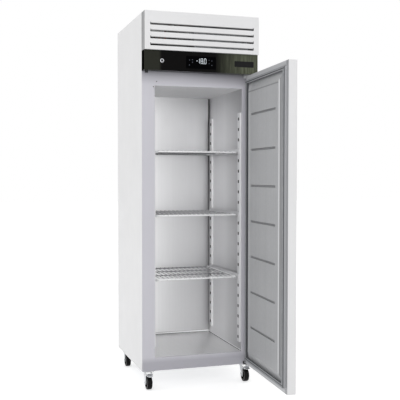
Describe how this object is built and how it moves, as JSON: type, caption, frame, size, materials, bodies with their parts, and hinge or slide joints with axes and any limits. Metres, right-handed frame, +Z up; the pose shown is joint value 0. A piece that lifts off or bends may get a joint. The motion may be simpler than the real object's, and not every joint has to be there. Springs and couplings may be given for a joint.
{
  "type": "upright freezer",
  "caption": "Tall upright freezer on castors with a louvred cooling unit on top, a hinged insulated door standing open, wire shelves and slotted uprights.",
  "frame": {"origin": "on the floor, under the middle of the box that the freezer fills with its door standing open", "axes": "+X to the right as one faces the open cabinet, +Y from the front to the back, +Z up"},
  "size_m": [0.65, 1.3134, 2.05],
  "materials": {
    "white_paint": "smooth satin powder coat",
    "galvanised": "plain galvanised sheet",
    "frame_paint": "satin, slightly blue grey",
    "stainless": "fine brushed, running upwards",
    "foam": "rigid foam, hidden",
    "black_gloss": "glossy moulded",
    "display": "dark window over lit digits",
    "black_plastic": "fine textured",
    "chrome": "polished",
    "fins": "thin bare fins",
    "white_plastic": "moulded",
    "copper": "bare drawn tube",
    "zinc": "zinc plated",
    "liner_plastic": "satin formed sheet",
    "gasket_rubber": "soft extruded",
    "grip_plastic": "satin extruded",
    "shelf_coating": "light grey coated wire",
    "wheel_rubber": "moulded tread and hub",
    "pedal_plastic": "moulded"
  },
  "bodies": {
    "cabinet": {"side_panel_left": "white_paint", "side_panel_right": "white_paint", "back_panel": "galvanised", "base_pan": "galvanised", "front_frame": "frame_paint", "insulation_foam": "foam", "inner_side_walls": "stainless", "inner_rear_wall": "stainless", "inner_ceiling": "stainless", "inner_floor": "stainless", "duct_panel": "stainless", "unit_deck": "galvanised", "louvre_panel": "white_paint", "control_fascia": "black_gloss", "display_window": "display", "display_module": "black_plastic", "lock_housing": "chrome", "door_sensor": "black_plastic", "frame_plugs": "black_plastic", "top_cover": "white_paint", "rear_grille": "galvanised", "compressor": "black_plastic", "condenser_coil": "fins", "condenser_shroud": "galvanised", "condenser_fan_motor": "black_plastic", "evaporator_housing": "white_plastic", "evaporator_lid": "white_plastic", "evaporator_coil": "fins", "evaporator_fan_motor": "black_plastic", "refrigerant_pipes": "copper", "drip_tray": "black_plastic", "cable_gland": "black_plastic", "pilasters": "stainless", "shelf_runners": "stainless", "hinge_brackets": "zinc", "hinge_pins": "zinc", "castor_plates": "zinc", "fixing_screws": "zinc"},
    "door": {"door_skin": "white_paint", "door_foam": "foam", "door_liner": "liner_plastic", "door_gasket": "gasket_rubber", "door_grip": "grip_plastic", "door_bushes": "white_plastic"},
    "lock_barrel": {"lock_barrel": "chrome"},
    "condenser_fan": {"condenser_fan": "black_plastic"},
    "evaporator_fan": {"evaporator_fan": "black_plastic"},
    "shelf_upper": {"shelf_upper": "shelf_coating"},
    "shelf_middle": {"shelf_middle": "shelf_coating"},
    "shelf_lower": {"shelf_lower": "shelf_coating"},
    "fork_front_left": {"castor_fork_front_left": "zinc"},
    "wheel_front_left": {"castor_wheel_front_left": "wheel_rubber"},
    "fork_front_right": {"castor_fork_front_right": "zinc"},
    "wheel_front_right": {"castor_wheel_front_right": "wheel_rubber"},
    "fork_rear_left": {"castor_fork_rear_left": "zinc"},
    "wheel_rear_left": {"castor_wheel_rear_left": "wheel_rubber"},
    "fork_rear_right": {"castor_fork_rear_right": "zinc"},
    "wheel_rear_right": {"castor_wheel_rear_right": "wheel_rubber"},
    "pedal_front_left": {"brake_pedal_front_left": "pedal_plastic"},
    "pedal_front_right": {"brake_pedal_front_right": "pedal_plastic"}
  },
  "joints": [
    {"name": "door_hinge", "type": "hinge", "parent": "cabinet", "child": "door", "pos_m": [0.302, -0.03327, 0.921], "axis": [0, 0, 1], "range_deg": [-87, 33]},
    {"name": "lock_turn", "type": "hinge", "parent": "cabinet", "child": "lock_barrel", "pos_m": [-0.226, -0.01627, 1.79], "axis": [0, -1, 0], "range_deg": [0, 90]},
    {"name": "condenser_fan_spin", "type": "hinge", "parent": "cabinet", "child": "condenser_fan", "pos_m": [0.13, 0.13573, 1.886], "axis": [0, 1, 0], "continuous": true},
    {"name": "evaporator_fan_spin", "type": "hinge", "parent": "cabinet", "child": "evaporator_fan", "pos_m": [0, 0.39273, 1.828], "axis": [0, 1, 0], "continuous": true},
    {"name": "shelf_upper_slide", "type": "slide", "parent": "cabinet", "child": "shelf_upper", "axis": [0, -1, 0], "range_m": [0, 0.02]},
    {"name": "shelf_middle_slide", "type": "slide", "parent": "cabinet", "child": "shelf_middle", "axis": [0, -1, 0], "range_m": [0, 0.02]},
    {"name": "shelf_lower_slide", "type": "slide", "parent": "cabinet", "child": "shelf_lower", "axis": [0, -1, 0], "range_m": [0, 0.02]},
    {"name": "swivel_front_left", "type": "hinge", "parent": "cabinet", "child": "fork_front_left", "pos_m": [-0.283, 0.06473, 0.094], "axis": [0, 0, 1], "continuous": true},
    {"name": "roll_front_left", "type": "hinge", "parent": "fork_front_left", "child": "wheel_front_left", "pos_m": [-0.283, 0.03973, 0.0375], "axis": [1, 0, 0], "continuous": true},
    {"name": "swivel_front_right", "type": "hinge", "parent": "cabinet", "child": "fork_front_right", "pos_m": [0.283, 0.06473, 0.094], "axis": [0, 0, 1], "continuous": true},
    {"name": "roll_front_right", "type": "hinge", "parent": "fork_front_right", "child": "wheel_front_right", "pos_m": [0.283, 0.03973, 0.0375], "axis": [1, 0, 0], "continuous": true},
    {"name": "swivel_rear_left", "type": "hinge", "parent": "cabinet", "child": "fork_rear_left", "pos_m": [-0.283, 0.60473, 0.094], "axis": [0, 0, 1], "continuous": true},
    {"name": "roll_rear_left", "type": "hinge", "parent": "fork_rear_left", "child": "wheel_rear_left", "pos_m": [-0.283, 0.57973, 0.0375], "axis": [1, 0, 0], "continuous": true},
    {"name": "swivel_rear_right", "type": "hinge", "parent": "cabinet", "child": "fork_rear_right", "pos_m": [0.283, 0.60473, 0.094], "axis": [0, 0, 1], "continuous": true},
    {"name": "roll_rear_right", "type": "hinge", "parent": "fork_rear_right", "child": "wheel_rear_right", "pos_m": [0.283, 0.57973, 0.0375], "axis": [1, 0, 0], "continuous": true},
    {"name": "brake_front_left", "type": "hinge", "parent": "fork_front_left", "child": "pedal_front_left", "pos_m": [-0.283, 0.02373, 0.082], "axis": [1, 0, 0], "range_deg": [0, 12]},
    {"name": "brake_front_right", "type": "hinge", "parent": "fork_front_right", "child": "pedal_front_right", "pos_m": [0.283, 0.02373, 0.082], "axis": [1, 0, 0], "range_deg": [0, 12]}
  ]
}
